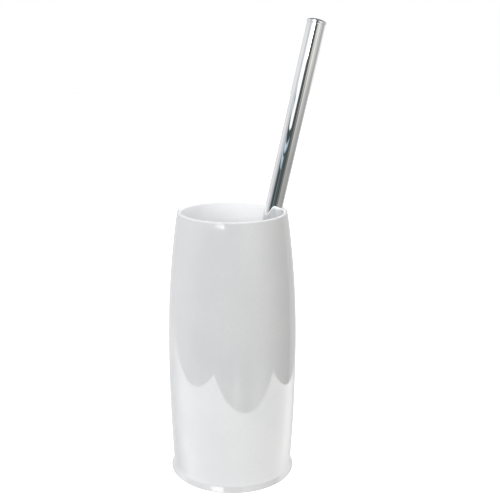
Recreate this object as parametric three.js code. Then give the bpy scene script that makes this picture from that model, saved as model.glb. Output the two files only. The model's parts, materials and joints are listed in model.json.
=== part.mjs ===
// Toilet brush holder: an open, barrel-shaped ceramic cup on a small flared foot, with a toilet brush
// standing in it. The brush leans against the mouth. Its chrome tube handle screws into the brush head.
// Units are millimetres, +Z is up, and the origin is the centre of the anti-slip pad's underside.

import * as THREE from 'three';
import * as BufferGeometryUtils from 'three/addons/utils/BufferGeometryUtils.js';

// Holder
const HOLDER_HEIGHT = 241.2;
const BELLY_RADIUS = 57.05;
const BELLY_HEIGHT = 116;
const UPPER_ARC_RADIUS = 843;
const LOWER_ARC_RADIUS = 1800;
const WALL = 3.6;
const LIP_RADIUS = 1.75;
const FOOT_RADIUS = 56.1;
const FOOT_EDGE_ROUND = 0.9;
const FLARE_RADIUS = 54.3;
const FLARE_HEIGHT = 6.3;
const WAIST_RADIUS = 54.05;
const WAIST_HEIGHT = 9;
const WALL_START = 16;
const FOOT_RING_WIDTH = 9;
const FLOOR_HEIGHT = 7.6;
const FLOOR_CORNER_RADIUS = 11;
const LIP_BLEND = 6;
const HOLDER_SIDES = 56;

// Anti-slip pad under the foot
const PAD_RADIUS = 43;
const PAD_THICKNESS = 3;
const PAD_PROUD = 0.6;
const PAD_CHAMFER = 0.4;

// Gap left between pieces that touch
const GAP = 0.3;

// Corners closer than this are one corner
const WELD_DISTANCE = 1e-4;

// How the brush stands: the lean of its axis and the place where the tube touches the mouth
const LEAN = THREE.MathUtils.degToRad(12.4);
const LEAN_AZIMUTH = THREE.MathUtils.degToRad(8);
const TOUCH_AZIMUTH = THREE.MathUtils.degToRad(11);

// Handle
const TUBE_RADIUS = 7.8;
const TUBE_BORE_RADIUS = 6.8;
const CAP_RADIUS = 8.25;
const CAP_THICKNESS = 2.3;
const CAP_DOME = 1.4;
const CAP_GROOVE = 0.3;
const CAP_SPIGOT_LENGTH = 9;
const PLUG_LENGTH = 15;
const STUD_RADIUS = 5;
const STUD_DEPTH = 10;
const STUD_CHAMFER = 1;
const STUD_SETBACK = 1;
const HANDLE_SIDES = 28;

// Brush head. Distances along the brush run from the bristles' tip.
const BRISTLE_RADIUS = 35.5;
const TIP_RADIUS = 20;
const TIP_ROUND_LENGTH = 28;
const TIP_FLAT_RADIUS = 14;
const TIP_CROWN = 0.3;
const TIP_EDGE_HEIGHT = 1.6;
const TIP_BULGE = 1;
const TIP_BULGE_HEIGHT = 4;
const TIP_SHOULDER_HEIGHT = 6.4;
const CORE_START = 10;
const CORE_RADIUS = 6.6;
const CORE_TIP_ROUND = 1.6;
const COLLAR_START = 83.5;
const COLLAR_RADIUS = 11;
const COLLAR_THICKNESS = 2.5;
const COLLAR_CHAMFER = 0.8;
const NECK_END = 104;
const NECK_BASE_RADIUS = 9.2;
const NECK_STRAIGHT_LENGTH = 6;
const THREAD_REACH = 12;
const WASHER_THICKNESS = 1.5;
const ROW_COUNT = 10;
const ROW_START = 14.2;
const ROW_PITCH = 7.2;
const ROW_THICKNESS = 6.2;
const ROW_BACKING = 1.2;
const TUFTS_PER_ROW = 12;
const TUFT_HALF_WIDTH = 0.3;
const TUFT_CROWN = 0.5;
const BRUSH_LENGTH = 399.8;

const materials = {
  glaze: new THREE.MeshStandardMaterial({ color: 0xe9eaec, roughness: 0.12, metalness: 0 }),
  pad: new THREE.MeshStandardMaterial({ color: 0x8d8f92, roughness: 0.85, metalness: 0 }),
  chrome: new THREE.MeshStandardMaterial({ color: 0xd5d7d9, roughness: 0.07, metalness: 1 }),
  plug: new THREE.MeshStandardMaterial({ color: 0x2b2c2e, roughness: 0.5, metalness: 0 }),
  stud: new THREE.MeshStandardMaterial({ color: 0xa9abad, roughness: 0.3, metalness: 1 }),
  washer: new THREE.MeshStandardMaterial({ color: 0xd9dbdc, roughness: 0.7, metalness: 0 }),
  core: new THREE.MeshStandardMaterial({ color: 0xf3f3f1, roughness: 0.35, metalness: 0 }),
  bristle: new THREE.MeshStandardMaterial({ color: 0xf6f6f4, roughness: 0.5, metalness: 0 }),
};

const point = (radius, height) => new THREE.Vector2(radius, height);

// Points on a circle in the outline's plane, from one angle to another, both in degrees
function arc(centre, radius, fromDegrees, toDegrees, steps) {
  const points = [];
  for (let step = 0; step <= steps; step += 1) {
    const angle = THREE.MathUtils.degToRad(fromDegrees + ((toDegrees - fromDegrees) * step) / steps);
    points.push(point(centre.x + radius * Math.cos(angle), centre.y + radius * Math.sin(angle)));
  }
  return points;
}

// Drops the faces that a lathe collapses on its axis, which have two equal corners
function dropEmptyFaces(geometry) {
  const index = geometry.getIndex().array;
  const kept = [];
  for (let face = 0; face < index.length; face += 3) {
    const [a, b, c] = [index[face], index[face + 1], index[face + 2]];
    if (a !== b && b !== c && c !== a) {
      kept.push(a, b, c);
    }
  }
  geometry.setIndex(kept);
}

function weld(geometry) {
  geometry.deleteAttribute('normal');
  geometry.deleteAttribute('uv');
  const welded = BufferGeometryUtils.mergeVertices(geometry, WELD_DISTANCE);
  dropEmptyFaces(welded);
  welded.computeVertexNormals();
  return welded;
}

// A body of revolution about +Z from a closed outline of (radius, height) points, listed anticlockwise.
// An outline that starts on the axis ends on it too.
function revolve(outline, sides) {
  const onAxis = outline[0].x === 0;
  const closed = onAxis ? outline : [...outline, outline[0].clone()];
  const turned = new THREE.LatheGeometry(closed, sides);
  turned.rotateX(Math.PI / 2);
  return weld(turned);
}

function piece(name, geometry, material) {
  const mesh = new THREE.Mesh(geometry, material);
  mesh.name = name;
  return mesh;
}

// The holder's outer wall is two long arcs, both upright at the belly
function outerRadius(height) {
  const arcRadius = height > BELLY_HEIGHT ? UPPER_ARC_RADIUS : LOWER_ARC_RADIUS;
  return BELLY_RADIUS - (height - BELLY_HEIGHT) ** 2 / (2 * arcRadius);
}

function wallPoints(inset, fromHeight, toHeight, steps) {
  const points = [];
  for (let step = 0; step <= steps; step += 1) {
    const height = fromHeight + ((toHeight - fromHeight) * step) / steps;
    points.push(point(outerRadius(height) - inset, height));
  }
  return points;
}

function makeHolderBody() {
  const footEdge = point(FOOT_RADIUS - FOOT_EDGE_ROUND, PAD_PROUD + FOOT_EDGE_ROUND);
  const lipCentreHeight = HOLDER_HEIGHT - LIP_RADIUS;
  const lipCentre = point(outerRadius(lipCentreHeight) - LIP_RADIUS, lipCentreHeight);
  const cornerHeight = FLOOR_HEIGHT + FLOOR_CORNER_RADIUS;
  const cornerCentre = point(outerRadius(cornerHeight) - WALL - FLOOR_CORNER_RADIUS, cornerHeight);
  const recessRadius = PAD_RADIUS + GAP;
  const footRingInner = FOOT_RADIUS - FOOT_RING_WIDTH;
  const outline = [
    point(0, PAD_THICKNESS + GAP),
    point(recessRadius, PAD_THICKNESS + GAP),
    point(recessRadius, PAD_PROUD + FOOT_EDGE_ROUND),
    point(footRingInner, PAD_PROUD),
    ...arc(footEdge, FOOT_EDGE_ROUND, -90, 0, 3),
    point(FLARE_RADIUS, FLARE_HEIGHT),
    point(WAIST_RADIUS, WAIST_HEIGHT),
    ...wallPoints(0, WALL_START, BELLY_HEIGHT, 4),
    ...wallPoints(0, BELLY_HEIGHT, lipCentreHeight, 7).slice(1),
    ...arc(lipCentre, LIP_RADIUS, 0, 180, 6).slice(1),
    ...wallPoints(WALL, BELLY_HEIGHT, lipCentreHeight - LIP_BLEND, 5).reverse(),
    ...wallPoints(WALL, cornerHeight, BELLY_HEIGHT, 2).slice(1, -1).reverse(),
    ...arc(cornerCentre, FLOOR_CORNER_RADIUS, 0, -90, 4),
    point(0, FLOOR_HEIGHT),
  ];
  return piece('holder_body', revolve(outline, HOLDER_SIDES), materials.glaze);
}

function makeBasePad() {
  const outline = [
    point(0, 0),
    point(PAD_RADIUS - PAD_CHAMFER, 0),
    point(PAD_RADIUS, PAD_CHAMFER),
    point(PAD_RADIUS, PAD_THICKNESS),
    point(0, PAD_THICKNESS),
  ];
  return piece('base_pad', revolve(outline, HOLDER_SIDES), materials.pad);
}

const washerStart = NECK_END + GAP;
const tubeStart = washerStart + WASHER_THICKNESS + GAP;
const tubeEnd = BRUSH_LENGTH - CAP_DOME - CAP_THICKNESS - CAP_GROOVE;
const studStart = tubeStart - STUD_DEPTH - WASHER_THICKNESS;

function makeHandleTube() {
  const outline = [
    point(TUBE_BORE_RADIUS, tubeStart),
    point(TUBE_RADIUS, tubeStart),
    point(TUBE_RADIUS, tubeEnd),
    point(TUBE_BORE_RADIUS, tubeEnd),
  ];
  return piece('handle_tube', revolve(outline, HANDLE_SIDES), materials.chrome);
}

function makeHandleEndCap() {
  const discStart = tubeEnd + CAP_GROOVE;
  const discEnd = discStart + CAP_THICKNESS;
  const spigotRadius = TUBE_BORE_RADIUS - GAP;
  const domeRadius = (CAP_RADIUS ** 2 + CAP_DOME ** 2) / (2 * CAP_DOME);
  const domeHalfAngle = THREE.MathUtils.radToDeg(Math.asin(CAP_RADIUS / domeRadius));
  const domeCentre = point(0, discEnd + CAP_DOME - domeRadius);
  const outline = [
    point(0, tubeEnd - CAP_SPIGOT_LENGTH),
    point(spigotRadius, tubeEnd - CAP_SPIGOT_LENGTH),
    point(spigotRadius, discStart),
    point(CAP_RADIUS, discStart),
    ...arc(domeCentre, domeRadius, 90 - domeHalfAngle, 90, 4).slice(0, -1),
    point(0, discEnd + CAP_DOME),
  ];
  return piece('handle_end_cap', revolve(outline, HANDLE_SIDES), materials.chrome);
}

function makeTubePlug() {
  const boreRadius = STUD_RADIUS + GAP;
  const plugRadius = TUBE_BORE_RADIUS - GAP;
  const outline = [
    point(boreRadius, tubeStart),
    point(plugRadius, tubeStart),
    point(plugRadius, tubeStart + PLUG_LENGTH),
    point(boreRadius, tubeStart + PLUG_LENGTH),
  ];
  return piece('tube_plug', revolve(outline, HANDLE_SIDES), materials.plug);
}

function makeThreadStud() {
  const studEnd = tubeStart + PLUG_LENGTH - STUD_SETBACK;
  const outline = [
    point(0, studStart),
    point(STUD_RADIUS - STUD_CHAMFER, studStart),
    point(STUD_RADIUS, studStart + STUD_CHAMFER),
    point(STUD_RADIUS, studEnd),
    point(0, studEnd),
  ];
  return piece('thread_stud', revolve(outline, HANDLE_SIDES), materials.stud);
}

function makeSealingWasher() {
  const holeRadius = STUD_RADIUS + GAP;
  const outline = [
    point(holeRadius, washerStart),
    point(TUBE_RADIUS, washerStart),
    point(TUBE_RADIUS, washerStart + WASHER_THICKNESS),
    point(holeRadius, washerStart + WASHER_THICKNESS),
  ];
  return piece('sealing_washer', revolve(outline, HANDLE_SIDES), materials.washer);
}

function makeBrushCore() {
  const holeRadius = STUD_RADIUS + GAP;
  const collarEnd = COLLAR_START + COLLAR_THICKNESS;
  const outline = [
    point(0, CORE_START),
    point(CORE_RADIUS - CORE_TIP_ROUND, CORE_START),
    point(CORE_RADIUS, CORE_START + CORE_TIP_ROUND),
    point(CORE_RADIUS, COLLAR_START),
    point(COLLAR_RADIUS - COLLAR_CHAMFER, COLLAR_START),
    point(COLLAR_RADIUS, COLLAR_START + COLLAR_CHAMFER),
    point(COLLAR_RADIUS, collarEnd - COLLAR_CHAMFER),
    point(NECK_BASE_RADIUS, collarEnd),
    point(TUBE_RADIUS, NECK_END - NECK_STRAIGHT_LENGTH),
    point(TUBE_RADIUS, NECK_END),
    point(holeRadius, NECK_END),
    point(holeRadius, NECK_END - THREAD_REACH),
    point(0, NECK_END - THREAD_REACH),
  ];
  return piece('brush_core', revolve(outline, HANDLE_SIDES), materials.core);
}

// How far the bristles reach from the brush's axis: a straight cylinder with a rounded tip
function bristleReach(distance) {
  const fromRound = Math.max(0, TIP_ROUND_LENGTH - distance) / TIP_ROUND_LENGTH;
  return TIP_RADIUS + (BRISTLE_RADIUS - TIP_RADIUS) * Math.sqrt(1 - fromRound ** 2);
}

// One row of tufts: a thin ring round the core with flared tufts standing out from it
function makeBristleRow(number) {
  const middle = ROW_START + (number - 1) * ROW_PITCH;
  const reach = bristleReach(middle - ROW_THICKNESS / 2);
  const rootRadius = CORE_RADIUS + GAP + ROW_BACKING;
  const step = (2 * Math.PI) / TUFTS_PER_ROW;
  const halfAngle = step * TUFT_HALF_WIDTH;
  const turn = number % 2 === 0 ? step / 2 : 0;
  const outline = new THREE.Shape();
  const corner = (radius, angle) => [radius * Math.cos(angle), radius * Math.sin(angle)];
  for (let tuft = 0; tuft < TUFTS_PER_ROW; tuft += 1) {
    const angle = turn + tuft * step;
    const start = corner(rootRadius, angle - halfAngle);
    if (tuft === 0) {
      outline.moveTo(...start);
    } else {
      outline.lineTo(...start);
    }
    outline.lineTo(...corner(reach - TUFT_CROWN, angle - halfAngle));
    outline.lineTo(...corner(reach, angle));
    outline.lineTo(...corner(reach - TUFT_CROWN, angle + halfAngle));
    outline.lineTo(...corner(rootRadius, angle + halfAngle));
  }
  outline.closePath();
  const hole = new THREE.Path();
  hole.absarc(0, 0, CORE_RADIUS + GAP, 0, 2 * Math.PI, true);
  outline.holes.push(hole);
  const row = new THREE.ExtrudeGeometry(outline, {
    depth: ROW_THICKNESS,
    bevelEnabled: false,
    curveSegments: 16,
  });
  row.translate(0, 0, middle - ROW_THICKNESS / 2);
  return piece(`bristle_row_${number}`, weld(row), materials.bristle);
}

// The tufts at the core's end spread from a narrow root to a broad, slightly rounded tip
const tipOutline = [
  point(0, 0),
  point(TIP_FLAT_RADIUS, TIP_CROWN),
  point(TIP_RADIUS, TIP_EDGE_HEIGHT),
  point(TIP_RADIUS + TIP_BULGE, TIP_BULGE_HEIGHT),
  point(TIP_RADIUS - TIP_BULGE, TIP_SHOULDER_HEIGHT),
  point(CORE_RADIUS, CORE_START - GAP),
  point(0, CORE_START - GAP),
];

function makeTipTufts() {
  return piece('tip_tufts', revolve(tipOutline, HANDLE_SIDES), materials.bristle);
}

// How far the leaning brush reaches below the centre of its tip
function tipDrop() {
  const drops = tipOutline.map((corner) => corner.x * Math.sin(LEAN) - corner.y * Math.cos(LEAN));
  return Math.max(...drops);
}

// The brush is built upright on +Z and then leant as one group
function makeBrush() {
  const brush = new THREE.Group();
  brush.add(makeHandleTube());
  brush.add(makeHandleEndCap());
  brush.add(makeTubePlug());
  brush.add(makeThreadStud());
  brush.add(makeSealingWasher());
  brush.add(makeBrushCore());
  for (let number = 1; number <= ROW_COUNT; number += 1) {
    brush.add(makeBristleRow(number));
  }
  brush.add(makeTipTufts());

  const leanDirection = new THREE.Vector3(Math.cos(LEAN_AZIMUTH), Math.sin(LEAN_AZIMUTH), 0);
  const brushAxis = leanDirection.clone().multiplyScalar(Math.sin(LEAN));
  brushAxis.z = Math.cos(LEAN);
  const mouthRadius = outerRadius(HOLDER_HEIGHT - LIP_RADIUS) - 2 * LIP_RADIUS;
  const touchRadius = mouthRadius - TUBE_RADIUS / Math.cos(LEAN);
  const touchPoint = new THREE.Vector3(
    touchRadius * Math.cos(TOUCH_AZIMUTH),
    touchRadius * Math.sin(TOUCH_AZIMUTH),
    HOLDER_HEIGHT,
  );
  const tipHeight = FLOOR_HEIGHT + GAP + tipDrop();
  const drop = (HOLDER_HEIGHT - tipHeight) / brushAxis.z;
  brush.position.copy(touchPoint).addScaledVector(brushAxis, -drop);
  brush.quaternion.setFromUnitVectors(new THREE.Vector3(0, 0, 1), brushAxis);
  return brush;
}

const holder = new THREE.Group();
holder.add(makeHolderBody());
holder.add(makeBasePad());
holder.add(makeBrush());

export default holder;
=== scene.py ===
"""Toilet brush holder: a glazed ceramic cup with a chrome-handled brush leaning in its mouth.

Everything is in metres, in the frame's own axes. The camera looks along +Y, with +X to the right.
"""

import json
import math
import random

import bpy
from mathutils import Matrix, Vector


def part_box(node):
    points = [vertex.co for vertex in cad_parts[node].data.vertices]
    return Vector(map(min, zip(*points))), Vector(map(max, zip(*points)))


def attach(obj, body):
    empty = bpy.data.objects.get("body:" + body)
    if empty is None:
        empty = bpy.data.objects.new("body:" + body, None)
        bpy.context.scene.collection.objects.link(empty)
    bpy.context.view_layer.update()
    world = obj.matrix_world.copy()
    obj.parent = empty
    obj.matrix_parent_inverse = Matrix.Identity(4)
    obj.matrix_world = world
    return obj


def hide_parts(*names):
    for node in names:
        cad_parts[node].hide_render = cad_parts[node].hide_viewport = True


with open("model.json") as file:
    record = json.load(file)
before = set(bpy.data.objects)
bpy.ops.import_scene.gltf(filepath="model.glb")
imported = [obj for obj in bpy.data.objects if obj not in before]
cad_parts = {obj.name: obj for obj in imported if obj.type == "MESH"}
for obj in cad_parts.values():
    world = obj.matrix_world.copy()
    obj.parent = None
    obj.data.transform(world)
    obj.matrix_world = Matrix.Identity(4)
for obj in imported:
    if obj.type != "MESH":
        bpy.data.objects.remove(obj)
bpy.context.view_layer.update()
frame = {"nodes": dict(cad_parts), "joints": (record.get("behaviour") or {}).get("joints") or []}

MM = 0.001
random.seed(7)


# ---------------------------------------------------------------- measures taken from the frame

def joint_named(name):
    return next(joint for joint in frame["joints"] if joint["name"] == name)


HINGE = joint_named("handle_unscrew")
BRUSH_AXIS = Vector(HINGE["axis"]).normalized()
BRUSH_POINT = Vector(HINGE["pos_m"])


def along_brush(node):
    """Where a node starts and ends along the brush's axis, and how far it reaches from the axis."""
    offsets = [v.co - BRUSH_POINT for v in frame["nodes"][node].data.vertices]
    heights = [offset.dot(BRUSH_AXIS) for offset in offsets]
    reaches = [(offset - BRUSH_AXIS * height).length for offset, height in zip(offsets, heights)]
    return min(heights), max(heights), max(reaches)


TIP_START = along_brush("tip_tufts")[0]
BRUSH_BASE = BRUSH_POINT + BRUSH_AXIS * TIP_START
BRUSH_TURN = Vector((0, 0, 1)).rotation_difference(BRUSH_AXIS).to_matrix().to_4x4()
# Pieces of the brush are made upright, with the bristles' tip at the origin, and moved by this
BRUSH_PLACE = Matrix.Translation(BRUSH_BASE) @ BRUSH_TURN


def brush_span(node):
    """A node's start and end along the brush, counted from the bristles' tip, and its reach."""
    start, end, reach = along_brush(node)
    return start - TIP_START, end - TIP_START, reach


HOLDER_LOW, HOLDER_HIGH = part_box("holder_body")
HOLDER_HEIGHT = HOLDER_HIGH.z
BELLY_RADIUS = HOLDER_HIGH.x
PAD_LOW, PAD_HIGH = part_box("base_pad")

# The holder's wall is two long arcs that meet upright at the belly. Angles are in degrees.
BELLY_HEIGHT = 116 * MM
UPPER_ARC = 843 * MM
LOWER_ARC = 1800 * MM
WALL = 3.6 * MM
LIP = 1.75 * MM
FOOT_RADIUS = 56.1 * MM
FOOT_BAND_TOP = 1.5 * MM
FLARE_RADIUS = 54.35 * MM
FLARE_HEIGHT = 6.0 * MM
WAIST_RADIUS = 54.1 * MM
WAIST_HEIGHT = 9 * MM
WALL_START = 16 * MM
# From the pad's recess out and up to the wall
FOOT_ROUNDINGS = [0.8 * MM, 0.8 * MM, 0.5 * MM, 0.6 * MM, 5 * MM, 14 * MM]
PAD_GAP = 0.3 * MM
FLOOR_HEIGHT = 7.6 * MM
FLOOR_CORNER = 11 * MM
# The floor's flat middle, which takes the inside glaze, ends before this radius
FLOOR_REACH = 45 * MM
# The inside wall ends this far under the lip's centre, and runs straight on to the lip
INNER_TOP_DOWN = 3 * MM
# Just under the lip the wall turns in a little more
SHOULDER = 6 * MM
SHOULDER_INSET = 0.22 * MM
SHOULDER_TILT = 12
SHOULDER_STEPS = 8

TUBE_WALL = 1 * MM
THREAD_GAP = 0.3 * MM
THREAD_PITCH = 3 * MM
THREAD_DEPTH = 0.9 * MM
THREAD_LEAD_IN = 1.5 * MM
CORE_RADIUS = 6.6 * MM
CORE_ROUNDINGS = [
    1.6 * MM, 1.2 * MM, 0.9 * MM, 0.9 * MM, 0.8 * MM, 4 * MM, 0.5 * MM, 0.5 * MM, 0.3 * MM
]
# The collar over the bristles, the neck's shoulder and the threaded hole, down from the core's top end
COLLAR_DOWN = 20.5 * MM
COLLAR_THICKNESS = 2.5 * MM
NECK_RADIUS = 9.2 * MM
NECK_TOP_DOWN = 6 * MM
HOLE_DEPTH = 12 * MM


# ---------------------------------------------------------------- camera, first of all

CAMERA_PLACE = (0, -0.7396, 0.4047)
CAMERA_DOWN = 15.06
# In millimetres, as Blender takes them; the shift is a part of the picture's width
CAMERA_SENSOR = 36
CAMERA_LENS = 63.1
CAMERA_SHIFT = 0.0354


def make_camera():
    data = bpy.data.cameras.new("camera")
    data.sensor_width = CAMERA_SENSOR
    data.lens = CAMERA_LENS
    data.shift_x = CAMERA_SHIFT
    camera = bpy.data.objects.new("camera", data)
    camera.location = CAMERA_PLACE
    camera.rotation_euler = (math.radians(90 - CAMERA_DOWN), 0, 0)
    bpy.context.scene.collection.objects.link(camera)
    bpy.context.scene.camera = camera


# ---------------------------------------------------------------- mesh tools

def add_object(name, mesh):
    obj = bpy.data.objects.new(name, mesh)
    bpy.context.scene.collection.objects.link(obj)
    return obj


def mesh_object(name, vertices, faces, sharp_angle=None):
    mesh = bpy.data.meshes.new(name)
    mesh.from_pydata(vertices, [], faces)
    mesh.validate()
    mesh.shade_smooth()
    if sharp_angle is not None:
        mesh.set_sharp_from_angle(angle=math.radians(sharp_angle))
    return add_object(name, mesh)


def around(count, offset=0):
    """Even angles round a full turn, in radians."""
    return [2 * math.pi * (index + offset) / count for index in range(count)]


def circle(radius, count):
    return [(radius * math.cos(angle), radius * math.sin(angle)) for angle in around(count)]


def arc(centre, radius, start, end, steps):
    """Points on a circle in the (radius, height) plane, from one angle to another, in degrees."""
    angles = [math.radians(start + (end - start) * step / steps) for step in range(steps + 1)]
    return [(centre[0] + radius * math.cos(a), centre[1] + radius * math.sin(a)) for a in angles]


def fillet(corner, before, after, radius, steps=4):
    """A rounded corner between the straight lines that lead from before and on to after."""
    corner, before, after = Vector(corner), Vector(before), Vector(after)
    back = (before - corner).normalized()
    on = (after - corner).normalized()
    half = back.angle(on) / 2
    reach = radius / math.tan(half)
    centre = corner + (back + on).normalized() * (radius / math.sin(half))
    first = corner + back * reach - centre
    last = corner + on * reach - centre
    turn = first.angle_signed(last)
    points = []
    for step in range(steps + 1):
        points.append(tuple(centre + Matrix.Rotation(-turn * step / steps, 2) @ first))
    return points


def rounded(corners, radii, steps=4):
    """An outline of straight lines, with each corner between its two ends rounded by its own radius."""
    points = [corners[0]]
    for before, corner, after, radius in zip(corners, corners[1:], corners[2:], radii):
        points += fillet(corner, before, after, radius, steps)
    points.append(corners[-1])
    return points


# Runs longer than this get a point this far from each of their ends
LONG_RUN = 5 * MM
SUPPORT_STEP = 0.3 * MM


def with_supports(outline, closed):
    """The outline with a point close to each end of its long runs, so that the shading of a rounded corner
    stays at that corner."""
    points = [Vector(point) for point in outline]
    runs = list(zip(points, points[1:] + points[:1]))
    if not closed:
        runs.pop()
    supported = []
    for first, last in runs:
        supported.append(tuple(first))
        if (last - first).length > LONG_RUN:
            step = (last - first).normalized() * SUPPORT_STEP
            supported += [tuple(first + step), tuple(last - step)]
    if not closed:
        supported.append(outline[-1])
    return supported


def revolve(name, outline, sides, sharp_angle=40):
    """A closed body of revolution about +Z. An outline that starts off the axis closes on itself."""
    on_axis = outline[0][0] == 0
    outline = with_supports(outline, not on_axis)
    vertices = []
    rings = []
    for radius, height in outline:
        if radius == 0:
            rings.append([len(vertices)] * sides)
            vertices.append((0, 0, height))
            continue
        rings.append(list(range(len(vertices), len(vertices) + sides)))
        vertices += [(x, y, height) for x, y in circle(radius, sides)]
    pairs = list(zip(rings, rings[1:]))
    if not on_axis:
        pairs.append((rings[-1], rings[0]))
    faces = []
    for lower, upper in pairs:
        for side in range(sides):
            after = (side + 1) % sides
            corners = [lower[side], lower[after], upper[after], upper[side]]
            faces.append(tuple(dict.fromkeys(corners)))
    return mesh_object(name, vertices, [face for face in faces if len(face) > 2], sharp_angle)


def finish_piece(piece, body, slot, material, *nodes, on_brush=False):
    """Places a piece, gives it its material, attaches it to its body and hides the parts that it stands for.
    """
    if on_brush:
        piece.data.transform(BRUSH_PLACE)
    piece.data.materials.clear()
    piece.data.materials.append(material)
    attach(piece, body)
    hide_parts(*nodes)


# ---------------------------------------------------------------- material tools

class NodeTree:
    """A node tree, with short calls for the nodes used here."""

    def __init__(self, tree):
        self.tree = tree
        self.nodes = tree.nodes

    def link(self, output, socket):
        self.tree.links.new(output, socket)

    def feed(self, socket, value):
        """Sets a socket to a number or a colour, or links another node's output to it."""
        if isinstance(value, tuple):
            socket.default_value = (*value, 1)
        elif isinstance(value, (int, float)):
            socket.default_value = value
        else:
            self.link(value, socket)

    def axes(self, kind="Object"):
        """The X, Y and Z of a kind of texture coordinates."""
        coordinates = self.nodes.new("ShaderNodeTexCoord")
        split = self.nodes.new("ShaderNodeSeparateXYZ")
        self.link(coordinates.outputs[kind], split.inputs["Vector"])
        return split.outputs["X"], split.outputs["Y"], split.outputs["Z"]

    def remap(self, value, low, high, to_low=0, to_high=1):
        """A smooth step from one value to another, as the input goes from low to high."""
        node = self.nodes.new("ShaderNodeMapRange")
        node.interpolation_type = "SMOOTHSTEP"
        node.inputs["From Min"].default_value = low
        node.inputs["From Max"].default_value = high
        node.inputs["To Min"].default_value = to_low
        node.inputs["To Max"].default_value = to_high
        self.link(value, node.inputs["Value"])
        return node.outputs["Result"]

    def blend(self, factor, first, second):
        """Mixes two colours."""
        node = self.nodes.new("ShaderNodeMix")
        node.data_type = "RGBA"
        self.link(factor, node.inputs["Factor"])
        # The node has several inputs named A and B: these are the ones for colours
        self.feed(node.inputs[6], first)
        self.feed(node.inputs[7], second)
        return node.outputs[2]

    def math(self, operation, first, second=0):
        node = self.nodes.new("ShaderNodeMath")
        node.operation = operation
        self.feed(node.inputs[0], first)
        self.feed(node.inputs[1], second)
        return node.outputs["Value"]


class Shader(NodeTree):
    """A new material and its node tree."""

    def __init__(self, name):
        self.material = bpy.data.materials.new(name)
        self.material.use_nodes = True
        super().__init__(self.material.node_tree)
        self.surface = self.nodes["Principled BSDF"]

    def set(self, **values):
        """Sets inputs of the surface by name, with _ for a space."""
        for name, value in values.items():
            self.surface.inputs[name.replace("_", " ")].default_value = value

    def place(self, scale=(1, 1, 1), rotation=(0, 0, 0)):
        """Object coordinates, turned and stretched by a scale."""
        coordinates = self.nodes.new("ShaderNodeTexCoord")
        mapping = self.nodes.new("ShaderNodeMapping")
        mapping.inputs["Scale"].default_value = scale
        mapping.inputs["Rotation"].default_value = rotation
        self.link(coordinates.outputs["Object"], mapping.inputs["Vector"])
        return mapping.outputs["Vector"]

    def noise(self, vector, scale, detail=3, roughness=0.5):
        node = self.nodes.new("ShaderNodeTexNoise")
        node.inputs["Scale"].default_value = scale
        node.inputs["Detail"].default_value = detail
        node.inputs["Roughness"].default_value = roughness
        self.link(vector, node.inputs["Vector"])
        return node.outputs["Fac"]

    def spots(self, vector, scale, size):
        """1 inside small scattered dots, 0 outside."""
        node = self.nodes.new("ShaderNodeTexVoronoi")
        node.inputs["Scale"].default_value = scale
        self.link(vector, node.inputs["Vector"])
        return self.remap(node.outputs["Distance"], size, size * 0.6)

    def height(self, none, full):
        """0 at one height in the frame, 1 at another."""
        return self.remap(self.axes()[2], none, full)

    def bump(self, value, distance, strength, normal=None):
        """A normal bumped by a value, on top of another bump's normal where one is given."""
        node = self.nodes.new("ShaderNodeBump")
        node.inputs["Strength"].default_value = strength
        node.inputs["Distance"].default_value = distance
        self.link(value, node.inputs["Height"])
        if normal is not None:
            self.link(normal, node.inputs["Normal"])
        return node.outputs["Normal"]

    def colour(self, value):
        self.link(value, self.surface.inputs["Base Color"])

    def roughness(self, value):
        self.link(value, self.surface.inputs["Roughness"])

    def normal(self, value):
        self.link(value, self.surface.inputs["Normal"])


# ---------------------------------------------------------------- materials

def glaze_material(name, painted_light_gain):
    """Glossy white glaze: faint mottling, orange peel, a few pinholes, bare clay on the foot ring. A gain
    above 1 paints light into all of its colours.
    """
    shader = Shader(name)
    here = shader.place()
    cloud = shader.noise(here, scale=22, detail=2)
    grain = shader.noise(here, scale=620, detail=2, roughness=0.6)
    pinholes = shader.spots(here, scale=55, size=0.035)
    bare = shader.height(none=1.9 * MM, full=1.1 * MM)

    # Every colour is scaled by the gain, which above 1 paints light into the glaze
    def tint(*colour):
        return tuple(channel * painted_light_gain for channel in colour)

    dull, clear, deep = tint(0.735, 0.740, 0.750), tint(0.765, 0.768, 0.775), tint(0.70, 0.705, 0.715)
    dirt, clay = (0.42, 0.41, 0.40), (0.66, 0.63, 0.57)
    clean = shader.blend(shader.remap(cloud, 0.35, 0.65), dull, clear)
    grained = shader.blend(shader.remap(grain, 0.3, 0.7, 0, 0.35), clean, deep)
    speckled = shader.blend(shader.math("MULTIPLY", pinholes, 0.35), grained, dirt)
    shader.colour(shader.blend(bare, speckled, clay))
    glazed = shader.remap(shader.noise(here, scale=35), 0.3, 0.7, 0.025, 0.045)
    unglazed = shader.math("MULTIPLY", bare, 0.75)
    shader.roughness(shader.math("MAXIMUM", glazed, unglazed))
    swell = shader.noise(here, scale=38, detail=1, roughness=0.4)
    waves = shader.bump(swell, distance=0.5 * MM, strength=0.06)
    peel = shader.bump(grain, distance=0.05 * MM, strength=0.05, normal=waves)
    shader.normal(shader.bump(pinholes, distance=0.1 * MM, strength=-0.5, normal=peel))
    shader.set(IOR=1.52)
    return shader.material


def pad_material():
    """Grey foamed rubber with open cells, painted darker inside as painted shade, and a little dust."""
    shader = Shader("pad")
    here = shader.place()
    cells = shader.spots(here, scale=900, size=0.33)
    dust = shader.noise(here, scale=60, detail=4)
    clean, dusty, deep = (0.20, 0.20, 0.205), (0.30, 0.295, 0.29), (0.10, 0.10, 0.105)
    base = shader.blend(shader.remap(dust, 0.35, 0.7), clean, dusty)
    # The cells are painted darker, as painted shade in the pores
    shader.colour(shader.blend(cells, base, deep))
    shader.roughness(shader.remap(dust, 0.3, 0.7, 0.75, 0.92))
    shader.normal(shader.bump(cells, distance=0.3 * MM, strength=-0.6))
    return shader.material


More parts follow.
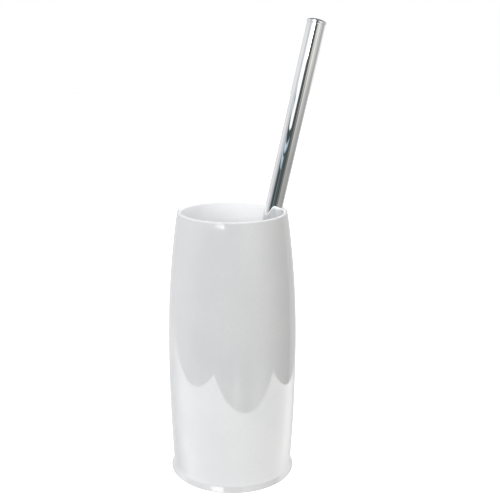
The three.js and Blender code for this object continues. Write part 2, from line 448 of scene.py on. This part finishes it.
def chrome_material():
    """Chrome plate on drawn tube: fine lengthwise polishing lines, faint waviness, slight smears."""
    shader = Shader("chrome")
    tilt = BRUSH_AXIS.to_track_quat("Z", "Y").inverted().to_euler()
    lines = shader.noise(shader.place((1, 1, 0.02), tilt), scale=1600, detail=2, roughness=0.6)
    swell = shader.noise(shader.place((1, 1, 0.2), tilt), scale=120, detail=1)
    smear = shader.noise(shader.place(), scale=45)
    bright, dull = (0.86, 0.87, 0.875), (0.80, 0.815, 0.82)
    shader.colour(shader.blend(shader.remap(smear, 0.35, 0.7), bright, dull))
    smeared = shader.remap(smear, 0.45, 0.75, 0.010, 0.030)
    shader.roughness(shader.math("ADD", smeared, shader.math("MULTIPLY", lines, 0.012)))
    drawn = shader.bump(swell, distance=0.10 * MM, strength=0.04)
    shader.normal(shader.bump(lines, distance=0.01 * MM, strength=0.05, normal=drawn))
    shader.set(Metallic=1.0)
    return shader.material


def plug_material():
    """Black moulded nylon."""
    shader = Shader("plug")
    grain = shader.noise(shader.place(), scale=1400)
    deep, worn = (0.018, 0.018, 0.02), (0.035, 0.035, 0.037)
    shader.colour(shader.blend(grain, deep, worn))
    shader.roughness(shader.remap(grain, 0.3, 0.7, 0.42, 0.6))
    shader.normal(shader.bump(grain, distance=0.05 * MM, strength=0.4))
    return shader.material


def stud_material():
    """Zinc-plated steel thread with turning marks."""
    shader = Shader("stud")
    here = shader.place()
    marks = shader.noise(here, scale=900, roughness=0.65)
    tarnish = shader.noise(here, scale=160)
    bright, dull = (0.62, 0.63, 0.65), (0.48, 0.475, 0.46)
    shader.colour(shader.blend(shader.remap(tarnish, 0.35, 0.7), bright, dull))
    shader.roughness(shader.remap(marks, 0.3, 0.7, 0.22, 0.42))
    shader.normal(shader.bump(marks, distance=0.03 * MM, strength=0.4))
    shader.set(Metallic=1.0)
    return shader.material


def washer_material():
    """Soft, slightly cloudy white washer."""
    shader = Shader("washer")
    cloud = shader.noise(shader.place(), scale=260)
    grey, milky = (0.60, 0.61, 0.62), (0.74, 0.745, 0.74)
    shader.colour(shader.blend(cloud, grey, milky))
    shader.roughness(shader.remap(cloud, 0.3, 0.7, 0.5, 0.68))
    shader.normal(shader.bump(cloud, distance=0.08 * MM, strength=0.3))
    shader.set(Subsurface_Weight=0.15, Subsurface_Scale=0.001, Subsurface_Radius=(1, 1, 1))
    return shader.material


def core_material():
    """White moulded polypropylene: waxy, with faint flow marks."""
    shader = Shader("core")
    flow = shader.noise(shader.place((1, 1, 0.25)), scale=130)
    grain = shader.noise(shader.place(), scale=1500, detail=2)
    creamy, white = (0.80, 0.80, 0.785), (0.86, 0.86, 0.85)
    shader.colour(shader.blend(shader.remap(flow, 0.35, 0.65), creamy, white))
    shader.roughness(shader.remap(flow, 0.3, 0.7, 0.26, 0.40))
    shader.normal(shader.bump(grain, distance=0.03 * MM, strength=0.3))
    shader.set(Subsurface_Weight=0.2, Subsurface_Scale=0.002, Subsurface_Radius=(1, 1, 1))
    return shader.material


def bristle_material():
    """White nylon filament, a little different from one filament to the next."""
    shader = Shader("bristle")
    filament = shader.noise(shader.place(), scale=340, detail=2)
    cool, warm = (0.90, 0.905, 0.91), (0.96, 0.96, 0.95)
    shader.colour(shader.blend(shader.remap(filament, 0.35, 0.65), cool, warm))
    shader.roughness(shader.remap(filament, 0.3, 0.7, 0.30, 0.45))
    shader.set(Subsurface_Weight=0.4, Subsurface_Scale=0.002, Subsurface_Radius=(1, 1, 1))
    return shader.material


# ---------------------------------------------------------------- the holder

def wall_radius(height):
    """The outside radius of the plain wall, above the foot and below the lip."""
    arc_radius = UPPER_ARC if height > BELLY_HEIGHT else LOWER_ARC
    return BELLY_RADIUS - (height - BELLY_HEIGHT) ** 2 / (2 * arc_radius)


def wall_points(inset, start, end, steps):
    heights = [start + (end - start) * step / steps for step in range(steps + 1)]
    return [(wall_radius(height) - inset, height) for height in heights]


def make_holder_body(outside, inside):
    """The cup, with one glaze outside and on the lip, and another inside below the lip, painted whiter as
    painted light.
    """
    foot_bottom = HOLDER_LOW.z
    recess_radius = PAD_HIGH.x + PAD_GAP
    recess_top = PAD_HIGH.z + PAD_GAP
    underside = rounded(
        [
            (0, recess_top),
            (recess_radius, recess_top),
            (recess_radius, foot_bottom),
            (FOOT_RADIUS, foot_bottom),
            (FOOT_RADIUS, FOOT_BAND_TOP),
            (FLARE_RADIUS, FLARE_HEIGHT),
            (WAIST_RADIUS, WAIST_HEIGHT),
            (wall_radius(WALL_START), WALL_START),
        ],
        FOOT_ROUNDINGS,
        steps=8,
    )
    lip_height = HOLDER_HEIGHT - LIP
    shoulder = []
    for step in range(1, SHOULDER_STEPS + 1):
        part = step / SHOULDER_STEPS
        height = lip_height - SHOULDER * (1 - part)
        shoulder.append((wall_radius(height) - SHOULDER_INSET * part ** 2, height))
    lip_centre = (wall_radius(lip_height) - SHOULDER_INSET - LIP, lip_height)
    corner_height = FLOOR_HEIGHT + FLOOR_CORNER
    corner_centre = (wall_radius(corner_height) - WALL - FLOOR_CORNER, corner_height)
    inner_top = lip_height - INNER_TOP_DOWN
    outline = [
        *underside,
        *wall_points(0, WALL_START, lip_height - SHOULDER, steps=60)[1:],
        *shoulder,
        *arc(lip_centre, LIP, SHOULDER_TILT, 180, steps=16),
        *reversed(wall_points(WALL, corner_height, inner_top, steps=50)[1:]),
        *arc(corner_centre, FLOOR_CORNER, 0, -90, steps=12),
        (0, FLOOR_HEIGHT),
    ]
    piece = revolve("ceramic_cup", outline, sides=192)
    finish_piece(piece, "holder", "glaze", outside, "holder_body")
    piece.data.materials.append(inside)
    for face in piece.data.polygons:
        across = face.center.xy
        inward = across.dot(face.normal.xy) < 0
        on_floor = face.center.z < FLOOR_HEIGHT + LIP and across.length < FLOOR_REACH
        if face.center.z > FLOOR_HEIGHT - LIP and (inward or on_floor):
            face.material_index = 1
    return piece


def make_base_pad(material):
    """The pad's underside has concentric grip grooves."""
    radius, bottom, top = PAD_HIGH.x, PAD_LOW.z, PAD_HIGH.z
    grooves, depth, half_width, half_bottom = 6, 0.5 * MM, 0.8 * MM, 0.8 * MM * 0.6
    lower_bevel, upper_bevel = 0.4 * MM, 0.2 * MM
    outline = [(0, bottom)]
    for groove in range(1, grooves + 1):
        middle = radius * groove / (grooves + 1)
        outline += [
            (middle - half_width, bottom),
            (middle - half_bottom, bottom + depth),
            (middle + half_bottom, bottom + depth),
            (middle + half_width, bottom),
        ]
    outline += [(radius - lower_bevel, bottom), (radius, bottom + lower_bevel)]
    outline += [(radius, top - upper_bevel), (radius - upper_bevel, top), (0, top)]
    piece = revolve("anti_slip_pad", outline, sides=128, sharp_angle=20)
    finish_piece(piece, "holder", "pad", material, "base_pad")


# ---------------------------------------------------------------- the handle

def ring_outline(start, end, radius, wall, roundings, steps):
    """A tube's section, from the middle of its outside up and round, without repeating that point."""
    bore = radius - wall
    middle = (start + end) / 2
    corners = [(radius, middle), (radius, end), (bore, end), (bore, start), (radius, start), (radius, middle)]
    return rounded(corners, roundings, steps)[:-1]


def make_handle_tube(material):
    outline = ring_outline(
        *brush_span("handle_tube"), TUBE_WALL, [0.12 * MM, 0.1 * MM, 0.2 * MM, 0.3 * MM], steps=3
    )
    piece = revolve("chrome_tube", outline, sides=128)
    finish_piece(piece, "handle", "chrome", material, "handle_tube", on_brush=True)


def make_end_cap(material):
    """A low dome, with a groove between it and the tube and a bevelled spigot in the tube's bore."""
    start, end, radius = brush_span("handle_end_cap")
    tube_end, tube_radius = brush_span("handle_tube")[1:]
    spigot = tube_radius - TUBE_WALL - 0.3 * MM
    seat = tube_end + 0.3 * MM
    dome, dome_overshoot, dome_steps = 1.4 * MM, 0.3 * MM, 8
    spigot_bevel = 0.5 * MM
    edge = rounded(
        [(spigot, seat), (radius, seat), (radius, end - dome), (0, end + dome_overshoot)],
        [0.12 * MM, 0.5 * MM],
        steps=5,
    )[:-1]
    shoulder_radius, shoulder_height = edge[-1]
    rise = end - shoulder_height
    crown = []
    for step in range(1, dome_steps + 1):
        part = 1 - step / dome_steps
        crown.append((shoulder_radius * part, shoulder_height + rise * (1 - part ** 2)))
    outline = [
        (0, start),
        (spigot - spigot_bevel, start),
        (spigot, start + spigot_bevel),
        *edge,
        *crown,
    ]
    piece = revolve("chrome_end_cap", outline, sides=128)
    finish_piece(piece, "handle", "chrome", material, "handle_end_cap", on_brush=True)


def make_tube_plug(material):
    """A bored plug with four shallow grooves round it."""
    start, end, radius = brush_span("tube_plug")
    bore = brush_span("thread_stud")[2] + THREAD_GAP
    grooves, groove_depth, groove_half = 4, 0.4 * MM, 0.5 * MM
    lower_bevel, upper_bevel = 0.3 * MM, 0.6 * MM
    outline = [(bore, start), (radius - lower_bevel, start), (radius, start + lower_bevel)]
    for groove in range(1, grooves + 1):
        height = start + (end - start) * groove / (grooves + 1)
        outline += [
            (radius, height - groove_half),
            (radius - groove_depth, height),
            (radius, height + groove_half),
        ]
    outline += [(radius, end - upper_bevel), (radius - upper_bevel, end), (bore, end)]
    piece = revolve("nylon_plug", outline, sides=64, sharp_angle=25)
    finish_piece(piece, "handle", "plug", material, "tube_plug", on_brush=True)


def make_thread_stud(material):
    """A coarse right-hand thread: the radius follows a trapezoid wave that climbs as it turns."""
    start, end, crest = brush_span("thread_stud")
    sides, rings_per_pitch = 64, 12
    ring_count = round((end - start) / THREAD_PITCH * rings_per_pitch)
    vertices = []
    for ring in range(ring_count + 1):
        height = start + (end - start) * ring / ring_count
        lead_in = min(1, (height - start) / THREAD_LEAD_IN, (end - height) / THREAD_LEAD_IN)
        for side in range(sides):
            turn = side / sides
            phase = ((height - start) / THREAD_PITCH - turn) % 1
            # The crest, the two flanks together and the root each take a third of the pitch
            flank = min(1, max(0, 2 - abs(phase - 0.5) * 6))
            radius = crest - THREAD_DEPTH + THREAD_DEPTH * flank * lead_in
            angle = 2 * math.pi * turn
            vertices.append((radius * math.cos(angle), radius * math.sin(angle), height))
    faces = []
    for ring in range(ring_count):
        for side in range(sides):
            after = (side + 1) % sides
            low, high = ring * sides, (ring + 1) * sides
            faces.append((low + side, low + after, high + after, high + side))
    faces.append(tuple(reversed(range(sides))))
    faces.append(tuple(range(ring_count * sides, (ring_count + 1) * sides)))
    piece = mesh_object("threaded_stud", vertices, faces, sharp_angle=50)
    finish_piece(piece, "handle", "stud", material, "thread_stud", on_brush=True)


def make_washer(material):
    start, end, radius = brush_span("sealing_washer")
    bore = brush_span("thread_stud")[2] + THREAD_GAP
    outline = ring_outline(start, end, radius, radius - bore, [0.35 * MM] * 4, steps=4)
    piece = revolve("soft_washer", outline, sides=96)
    finish_piece(piece, "washer", "washer", material, "sealing_washer", on_brush=True)


# ---------------------------------------------------------------- the brush head

def make_core(material):
    """A rod for the tufts, a collar over them, and a neck with the threaded hole."""
    start, end, collar = brush_span("brush_core")
    tube_radius = brush_span("handle_tube")[2]
    collar_start = end - COLLAR_DOWN
    collar_end = collar_start + COLLAR_THICKNESS
    hole = brush_span("thread_stud")[2] + THREAD_GAP
    hole_bottom = end - HOLE_DEPTH
    corners = [
        (0, start),
        (CORE_RADIUS, start),
        (CORE_RADIUS, collar_start),
        (collar, collar_start),
        (collar, collar_end),
        (NECK_RADIUS, collar_end),
        (tube_radius, end - NECK_TOP_DOWN),
        (tube_radius, end),
        (hole, end),
        (hole, hole_bottom),
        (0, hole_bottom),
    ]
    piece = revolve("moulded_core", rounded(corners, CORE_ROUNDINGS, steps=5), sides=96)
    finish_piece(piece, "brush_head", "core", material, "brush_core", on_brush=True)


# Each tuft's root sits at a depth in the core, and its tips spread by so much sideways and along. The tip's
# tufts stand on a ring round the middle one, and lean outwards by so much for each step down.
TUFTS_PER_ROW = 12
TUFT_DEPTH = 1.2 * MM
ROW_SPREAD = (6.6 * MM, 4.2 * MM)
TIP_TUFTS = 8
TIP_LEAN = 1.15
TIP_RING = 3.4 * MM
TIP_DEPTH = 1.5 * MM
TIP_SPREAD = (5 * MM, 3.6 * MM)
TIP_MIDDLE_SPREAD = (5 * MM, 5 * MM)
# The leaning tip tufts are cut off here, and the middle one ends nearer to the tip
TIP_TRIM = 2.2 * MM
TIP_MIDDLE_END = 0.9 * MM

STRANDS = 38
STRAND_RADIUS = 0.19 * MM
STRAND_SIDES = 4
STRAND_RINGS = 4
HOLE_RADIUS = 1.5 * MM
# Wobbles of a strand's length, of its tip's place and of its bend
LENGTH_WOBBLE = 0.7 * MM
TIP_WOBBLE = 0.5 * MM
SAG_WOBBLE = 0.7 * MM


def strand(vertices, faces, root, tip, sag, radius):
    """One filament: a thin closed prism that bends a little between its root and its tip."""
    first = len(vertices)
    direction = (tip - root).normalized()
    side = direction.orthogonal().normalized()
    across = direction.cross(side)
    for ring in range(STRAND_RINGS):
        part = ring / (STRAND_RINGS - 1)
        middle = root.lerp(tip, part) + sag * (4 * part * (1 - part))
        for angle in around(STRAND_SIDES):
            offset = side * math.cos(angle) + across * math.sin(angle)
            vertices.append(middle + offset * radius)
    for ring in range(STRAND_RINGS - 1):
        low = first + ring * STRAND_SIDES
        for corner in range(STRAND_SIDES):
            after = (corner + 1) % STRAND_SIDES
            high = low + STRAND_SIDES
            faces.append((low + corner, low + after, high + after, high + corner))
    last = first + (STRAND_RINGS - 1) * STRAND_SIDES
    faces.append(tuple(first + corner for corner in reversed(range(STRAND_SIDES))))
    faces.append(tuple(last + corner for corner in range(STRAND_SIDES)))


def disc_point(index, count):
    """Even, sunflower-like points over a unit disc."""
    distance = math.sqrt((index + 0.5) / count)
    angle = index * math.pi * (3 - math.sqrt(5))
    return distance * math.cos(angle), distance * math.sin(angle)


def wobble(size):
    return random.uniform(-size, size)


def tuft(vertices, faces, root, outward, sideways, length, spread, trim=None):
    """A round bunch of filaments that fans out from its hole, cut off square to the brush at the trim."""
    upward = outward.cross(sideways)
    for index in range(STRANDS):
        across, along = disc_point(index, STRANDS)
        start = root + (sideways * across + upward * along) * HOLE_RADIUS
        end = root + outward * (length + wobble(LENGTH_WOBBLE))
        end += sideways * (across * spread[0] + wobble(TIP_WOBBLE))
        end += upward * (along * spread[1] + wobble(TIP_WOBBLE))
        if trim is not None and end.z < trim:
            end = start.lerp(end, (start.z - trim) / (start.z - end.z))
        sag = sideways * wobble(SAG_WOBBLE) + upward * wobble(SAG_WOBBLE)
        strand(vertices, faces, start, end, sag, STRAND_RADIUS)


def make_bristle_row(number, material):
    """A ring of tufts. Every other row is turned by half a step."""
    node = f"bristle_row_{number}"
    start, end, reach = brush_span(node)
    root_height = Vector((0, 0, (start + end) / 2))
    root_radius = CORE_RADIUS - TUFT_DEPTH
    # Inside the node's reach by a little more than a strand's wobble
    length = reach - 0.8 * MM - root_radius
    vertices, faces = [], []
    for angle in around(TUFTS_PER_ROW, 0.5 if number % 2 == 0 else 0):
        outward = Vector((math.cos(angle), math.sin(angle), 0))
        sideways = Vector((-math.sin(angle), math.cos(angle), 0))
        root = outward * root_radius + root_height
        tuft(vertices, faces, root, outward, sideways, length, ROW_SPREAD)
    piece = mesh_object(f"tufts_row_{number}", vertices, faces, sharp_angle=50)
    finish_piece(piece, "brush_head", "bristle", material, node, on_brush=True)


def make_tip_tufts(material):
    """Nine tufts at the core's end: one straight down and eight leaning outwards round it."""
    top = brush_span("tip_tufts")[1] + TIP_DEPTH
    middle, down, sideways = Vector((0, 0, top)), Vector((0, 0, -1)), Vector((1, 0, 0))
    vertices, faces = [], []
    tuft(vertices, faces, middle, down, sideways, top - TIP_MIDDLE_END, TIP_MIDDLE_SPREAD)
    for angle in around(TIP_TUFTS):
        ring = Vector((math.cos(angle), math.sin(angle), 0))
        outward = (ring * TIP_LEAN + down).normalized()
        root = ring * TIP_RING + middle
        length = (top - TIP_TRIM) / -outward.z
        sideways = Vector((-math.sin(angle), math.cos(angle), 0))
        tuft(vertices, faces, root, outward, sideways, length, TIP_SPREAD, TIP_TRIM)
    piece = mesh_object("tufts_tip", vertices, faces, sharp_angle=50)
    finish_piece(piece, "brush_head", "bristle", material, "tip_tufts", on_brush=True)


# ---------------------------------------------------------------- studio

# What surrounds the object, in sectors. Azimuth is in degrees from the camera's side towards +X, elevation
# in degrees from level. Each sector has its left and right azimuth, the two elevations between which its
# colour changes, and the colours below and above them. A later sector covers an earlier one, and the base
# shows where there is none.
BASE_CHANGE = (-5, 5)
BASE_COLOURS = ((0.40, 0.40, 0.41), (0.22, 0.22, 0.225))
SECTORS = (
    (-160, -115, -10, 0, (1.05, 1.05, 1.06), (0.90, 0.90, 0.91)),
    (-115, -88, -10, 0, (1.50, 1.50, 1.51), (0.90, 0.90, 0.91)),
    (-88, -62, 0, 10, (0.64, 0.64, 0.66), (0.70, 0.70, 0.72)),
    (-62, -4, -14, 0, (0.16, 0.17, 0.17), (0.065, 0.085, 0.085)),
    (-62, -50, -14, 0, (0.21, 0.22, 0.22), (0.220, 0.235, 0.240)),
    (-4, 14, -4, 2, (0.080, 0.087, 0.090), (0.120, 0.116, 0.112)),
    (14, 33, -8.5, -1, (0.190, 0.188, 0.180), (0.78, 0.77, 0.74)),
    (33, 55, -16, -5, (0.43, 0.43, 0.41), (0.97, 0.96, 0.93)),
    (55, 79, -19, -9, (0.40, 0.40, 0.385), (0.67, 0.66, 0.64)),
    (79, 114, -20, -10, (0.38, 0.38, 0.37), (0.50, 0.49, 0.48)),
    (114, 126, -20, -8, (0.44, 0.43, 0.42), (0.58, 0.57, 0.56)),
    (126, 160, -20, -8, (1.10, 1.09, 1.08), (1.00, 0.99, 0.98)),
)
# Above these elevations the surroundings fade to a dim ceiling
CEILING_START = 25
CEILING_END = 45
CEILING_COLOUR = (0.24, 0.24, 0.24)

# The key softbox, a brighter pane in it, and small panes of blue light under it, in dark surroundings, each
# with its left and right azimuth, its lowest and highest level, and its colour. The level is the elevation,
# slanted by this much for each degree of azimuth from the middle.
KEY_SLANT = 0.17
KEY_MIDDLE = -32
KEY_PANES = (
    ((-62, -16), (3.40, 70), (1.20, 1.20, 1.21)),
    ((-42, -16), (8, 18), (7.0, 7.0, 7.0)),
    ((-61, -46), (3.40, 3.75), (0.55, 0.58, 0.64)),
    ((-61, -47), (4.05, 5.10), (0.40, 0.43, 0.50)),
    ((-58, -9), (1.85, 2.50), (0.44, 0.55, 0.66)),
    ((-44, -24), (2.05, 2.40), (0.62, 0.74, 0.82)),
    ((-61, -26), (0.78, 1.60), (0.46, 0.56, 0.66)),
    ((-61, -30), (1.25, 1.55), (0.66, 0.78, 0.84)),
    ((-27, -20), (-6.0, 1.60), (0.20, 0.27, 0.30)),
)
# Light strips far out on the dark floor in front: left and right azimuth, and colour. They start at an
# elevation and reach full strength this much lower.
FLOOR_STRIPS = (
    ((2, 13), (1.10, 1.10, 1.10)),
    ((37, 66), (1.10, 1.09, 1.08)),
)
STRIP_TOP = -19
STRIP_FADE = 5
# Half the width of a soft edge, in degrees
SIDE_SOFTNESS = 1.5
PANE_SOFTNESS = 0.06


def make_world():
    world = bpy.data.worlds.new("studio")
    bpy.context.scene.world = world
    world.use_nodes = True
    tree = NodeTree(world.node_tree)

    def between(value, low, high, soft):
        rise = tree.remap(value, low - soft, low + soft)
        return tree.math("MULTIPLY", rise, tree.remap(value, high + soft, high - soft))

    side, back, up = tree.axes("Generated")
    toward_camera = tree.math("MULTIPLY", back, -1)
    azimuth = tree.math("DEGREES", tree.math("ARCTAN2", side, toward_camera))
    elevation = tree.math("DEGREES", tree.math("ARCSINE", up))

    colour = tree.blend(tree.remap(elevation, *BASE_CHANGE), *BASE_COLOURS)
    for left, right, low, high, low_colour, high_colour in SECTORS:
        sector = tree.blend(tree.remap(elevation, low, high), low_colour, high_colour)
        colour = tree.blend(between(azimuth, left, right, SIDE_SOFTNESS), colour, sector)
    for (left, right), strip_colour in FLOOR_STRIPS:
        across = between(azimuth, left, right, SIDE_SOFTNESS)
        below = tree.remap(elevation, STRIP_TOP, STRIP_TOP - STRIP_FADE)
        colour = tree.blend(tree.math("MULTIPLY", across, below), colour, strip_colour)
    from_middle = tree.math("SUBTRACT", azimuth, KEY_MIDDLE)
    level = tree.math("ADD", elevation, tree.math("MULTIPLY", from_middle, KEY_SLANT))
    for (left, right), (low, high), pane_colour in KEY_PANES:
        across = between(azimuth, left, right, SIDE_SOFTNESS)
        pane = tree.math("MULTIPLY", across, between(level, low, high, PANE_SOFTNESS))
        colour = tree.blend(pane, colour, pane_colour)
    colour = tree.blend(tree.remap(elevation, CEILING_START, CEILING_END), colour, CEILING_COLOUR)
    tree.link(colour, tree.nodes["Background"].inputs["Color"])
    tree.nodes["Background"].inputs["Strength"].default_value = 1.0


def flat_object(name, points, height):
    """A flat polygon that faces up."""
    mesh = bpy.data.meshes.new(name)
    mesh.from_pydata([(x, y, height) for x, y in points], [], [tuple(range(len(points)))])
    return add_object(name, mesh)


def glowing_material(name, strength):
    material = bpy.data.materials.new(name)
    material.use_nodes = True
    nodes = material.node_tree.nodes
    nodes.clear()
    glow = nodes.new("ShaderNodeEmission")
    glow.inputs["Strength"].default_value = strength
    output = nodes.new("ShaderNodeOutputMaterial")
    material.node_tree.links.new(glow.outputs["Emission"], output.inputs["Surface"])
    return material


def show_only_to(obj, camera=False, glossy=False):
    """Hides an object from all rays but the camera's or the glossy ones."""
    obj.visible_camera = camera
    obj.visible_glossy = glossy
    obj.visible_diffuse = False
    obj.visible_transmission = False
    obj.visible_volume_scatter = False
    obj.visible_shadow = False


STAGE_SIDES = 96
FLOOR_SIZE = 4
FLOOR_GLOW = 0.8
BACKDROP_SIZE = 3.9
BACKDROP_HEIGHT = 2.5
BACKDROP_GLOW = 1.0


def make_floor():
    """A matt white floor, which glows a little so that it stays white round the object."""
    floor = flat_object("floor", circle(FLOOR_SIZE, STAGE_SIDES), 0)
    shader = Shader("floor")
    shader.set(Base_Color=(0.93, 0.93, 0.93, 1), Roughness=0.9, Specular_IOR_Level=0)
    shader.set(Emission_Color=(1, 1, 1, 1), Emission_Strength=FLOOR_GLOW)
    floor.data.materials.append(shader.material)
    floor.visible_glossy = False
    floor.visible_diffuse = False


def make_backdrop():
    """A pale wall all round, which only the camera sees above the floor's far edge."""
    corners = circle(BACKDROP_SIZE, STAGE_SIDES)
    vertices = [(x, y, 0) for x, y in corners] + [(x, y, BACKDROP_HEIGHT) for x, y in corners]
    faces = []
    for side in range(STAGE_SIDES):
        after = (side + 1) % STAGE_SIDES
        faces.append((side, after, STAGE_SIDES + after, STAGE_SIDES + side))
    mesh = bpy.data.meshes.new("backdrop")
    mesh.from_pydata(vertices, [], faces)
    backdrop = add_object("backdrop", mesh)
    mesh.materials.append(glowing_material("backdrop", BACKDROP_GLOW))
    show_only_to(backdrop, camera=True)


# Two cards that lie on the floor, in metres, just above it
BOARD_CORNERS = ((-0.156, -0.275), (0.290, -0.100), (0.037, 0.565), (-0.462, 0.363))
BOARD_HEIGHT = 0.4 * MM
SWEEP_CORNERS = ((-0.05, -0.036), (-3.5, -0.52), (-3.5, 3.5), (3.5, 3.5), (3.5, 2.39), (0.052, -0.02))
SWEEP_HEIGHT = 0.2 * MM
SWEEP_GLOW = 0.9
# The board's glow dims round the back of the object, a painted shadow of the object on the board, from its
# full glow to this part of it. The bearing is in degrees from the camera's side, and is counted on each side
# about a point this far aside and forward. It runs from full glow to full shade, and the two sides blend over
# a few millimetres.
BOARD_GLOW = 3.3
BOARD_SHADE = 0.28
SHADE_ASIDE = 0.038
SHADE_FORWARD = 0.040
SHADE_LEFT = (84, 140)
SHADE_RIGHT = (118, 160)
SHADE_BLEND = 0.01


def shaded_glow(name, strength):
    """A glow that dims round the back of the object, as a painted shadow of the object."""
    shader = Shader(name)
    side, back, _ = shader.axes()
    across = shader.math("SUBTRACT", shader.math("ABSOLUTE", side), SHADE_ASIDE)
    toward_camera = shader.math("SUBTRACT", -SHADE_FORWARD, back)
    bearing = shader.math("ABSOLUTE", shader.math("ARCTAN2", across, toward_camera))

    def shade(limits):
        start, end = map(math.radians, limits)
        return shader.remap(bearing, start, end, strength, strength * BOARD_SHADE)

    left, right = shade(SHADE_LEFT), shade(SHADE_RIGHT)
    to_right = shader.remap(side, -SHADE_BLEND, SHADE_BLEND)
    change = shader.math("MULTIPLY", to_right, shader.math("SUBTRACT", right, left))
    level = shader.math("ADD", left, change)
    shader.set(Base_Color=(0, 0, 0, 1), Specular_IOR_Level=0, Emission_Color=(1, 1, 1, 1))
    shader.link(level, shader.surface.inputs["Emission Strength"])
    return shader.material


def make_reflector_board():
    """The bright board that the object stands on, seen only as a reflection in the glaze."""
    board = flat_object("reflector_board", BOARD_CORNERS, BOARD_HEIGHT)
    board.data.materials.append(shaded_glow("reflector_board", BOARD_GLOW))
    show_only_to(board, glossy=True)


def make_reflector_sweep():
    """Bright paper to the left of the object and behind it, seen only as a reflection in the glaze."""
    sweep = flat_object("reflector_sweep", SWEEP_CORNERS, SWEEP_HEIGHT)
    sweep.data.materials.append(glowing_material("reflector_sweep", SWEEP_GLOW))
    show_only_to(sweep, glossy=True)


def make_sun(name, azimuth, elevation, strength, spread):
    """A wide soft light from far away, which isn't seen in reflections. Its angles are in degrees."""
    data = bpy.data.lights.new(name, "SUN")
    data.energy = strength
    data.angle = math.radians(spread)
    light = bpy.data.objects.new(name, data)
    side, rise = math.radians(azimuth), math.radians(elevation)
    source = Vector((math.sin(side) * math.cos(rise), -math.cos(side) * math.cos(rise), math.sin(rise)))
    light.rotation_euler = source.to_track_quat("Z", "Y").to_euler()
    light.visible_glossy = False
    bpy.context.scene.collection.objects.link(light)


FILL_WIDTH = 0.07
FILL_RISE = 0.06
FILL_POWER = 0.055


def make_mouth_fill(cup):
    """A soft light over the mouth, which lifts the inside of the cup and falls on nothing else."""
    data = bpy.data.lights.new("mouth_fill", "AREA")
    data.shape = "DISK"
    data.size = FILL_WIDTH
    data.energy = FILL_POWER
    light = bpy.data.objects.new("mouth_fill", data)
    light.location = (0, 0, HOLDER_HEIGHT + FILL_RISE)
    light.visible_glossy = False
    light.visible_camera = False
    receivers = bpy.data.collections.new("mouth_fill_receivers")
    receivers.objects.link(cup)
    light.light_linking.receiver_collection = receivers
    light.light_linking.blocker_collection = receivers
    bpy.context.scene.collection.objects.link(light)


def make_studio():
    make_world()
    make_floor()
    make_backdrop()
    make_reflector_board()
    make_reflector_sweep()
    make_sun("overhead", azimuth=0, elevation=52, strength=1.06, spread=40)
    make_sun("key", azimuth=-32, elevation=38, strength=0.42, spread=40)
    bpy.context.scene.view_settings.view_transform = "Standard"


# ---------------------------------------------------------------- building

make_camera()
make_studio()

# The glaze is painted whiter inside the cup, which is painted light, to match the bright inside in the photo
INSIDE_PAINTED_LIGHT = 1.2
cup = make_holder_body(
    glaze_material("glaze", 1.0), glaze_material("glaze_inside_painted_light", INSIDE_PAINTED_LIGHT)
)
make_mouth_fill(cup)
make_base_pad(pad_material())

chrome = chrome_material()
make_handle_tube(chrome)
make_end_cap(chrome)
make_tube_plug(plug_material())
make_thread_stud(stud_material())
make_washer(washer_material())
make_core(core_material())

bristle = bristle_material()
BRISTLE_ROWS = 10
for row in range(1, BRISTLE_ROWS + 1):
    make_bristle_row(row, bristle)
make_tip_tufts(bristle)
